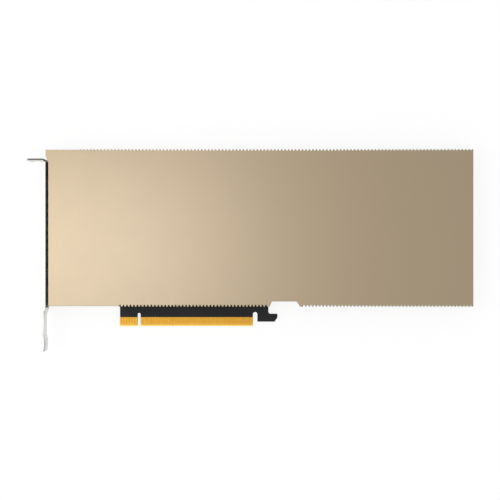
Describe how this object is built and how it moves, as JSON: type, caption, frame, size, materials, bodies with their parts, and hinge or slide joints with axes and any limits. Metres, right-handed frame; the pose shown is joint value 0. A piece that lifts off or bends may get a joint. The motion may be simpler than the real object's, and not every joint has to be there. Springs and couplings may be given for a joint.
{
  "type": "passive accelerator card",
  "caption": "Slim passive accelerator card with a fluted champagne-gold metal shroud open at both ends, a keyed gold edge connector on a black board and a vented steel bracket.",
  "frame": {"origin": "centre line of the key notch at the tips of the edge fingers, in the plane of the board's front face", "axes": "+X along the card from the bracket to the open intake end, +Y from the edge connector to the top edge, +Z out of the component side through the shroud"},
  "size_m": [0.2784, 0.126, 0.0184],
  "materials": {
    "board": "satin black solder mask",
    "gold_contact": "polished gold plate",
    "shroud": "fine-blasted champagne anodise",
    "bracket": "satin nickel plate",
    "substrate": "satin",
    "silicon": "polished",
    "thermal_paste": "soft grey paste",
    "stiffener": "satin",
    "memory_case": "moulded matt",
    "thermal_pad": "soft matt",
    "inductor_case": "pressed powder",
    "chip_case": "moulded matt",
    "capacitor_case": "moulded matt",
    "fuse_case": "ceramic white",
    "resistor_case": "matt",
    "crystal_can": "satin",
    "chip_capacitor": "fired ceramic",
    "header_case": "moulded satin",
    "pin_metal": "gold flash",
    "heatsink_plate": "milled",
    "chamber_copper": "copper, lapped",
    "fin_metal": "rolled sheet",
    "standoff": "nickel plate",
    "screw_steel": "black zinc plate",
    "spring_steel": "satin",
    "insulator_film": "matt film"
  },
  "bodies": {
    "root": {"circuit_board": "board", "edge_contacts_front": "gold_contact", "edge_contacts_back": "gold_contact", "shroud": "shroud", "io_bracket": "bracket", "processor_substrate": "substrate", "processor_die": "silicon", "die_thermal_paste": "thermal_paste", "package_stiffener": "stiffener", "memory_chips": "memory_case", "memory_thermal_pads": "thermal_pad", "power_inductors": "inductor_case", "inductor_thermal_pads": "thermal_pad", "power_stages": "chip_case", "stage_thermal_pads": "thermal_pad", "block_capacitors": "capacitor_case", "input_choke": "inductor_case", "input_fuses": "fuse_case", "sense_resistors": "resistor_case", "power_controllers": "chip_case", "management_controller": "chip_case", "reference_crystal": "crystal_can", "firmware_chip": "chip_case", "chip_capacitors_front": "chip_capacitor", "chip_capacitors_back": "chip_capacitor", "power_header": "header_case", "header_pins": "pin_metal", "heatsink_plate": "heatsink_plate", "vapour_chamber": "chamber_copper", "fin_stack": "fin_metal", "cover_pillars": "standoff", "extender_pillars": "standoff", "heatsink_posts": "standoff", "processor_posts": "standoff", "cover_screws": "screw_steel", "bracket_screws": "screw_steel", "heatsink_screws": "screw_steel", "spring_screws": "screw_steel", "retention_spring": "spring_steel", "spring_insulator": "insulator_film"}
  },
  "joints": []
}
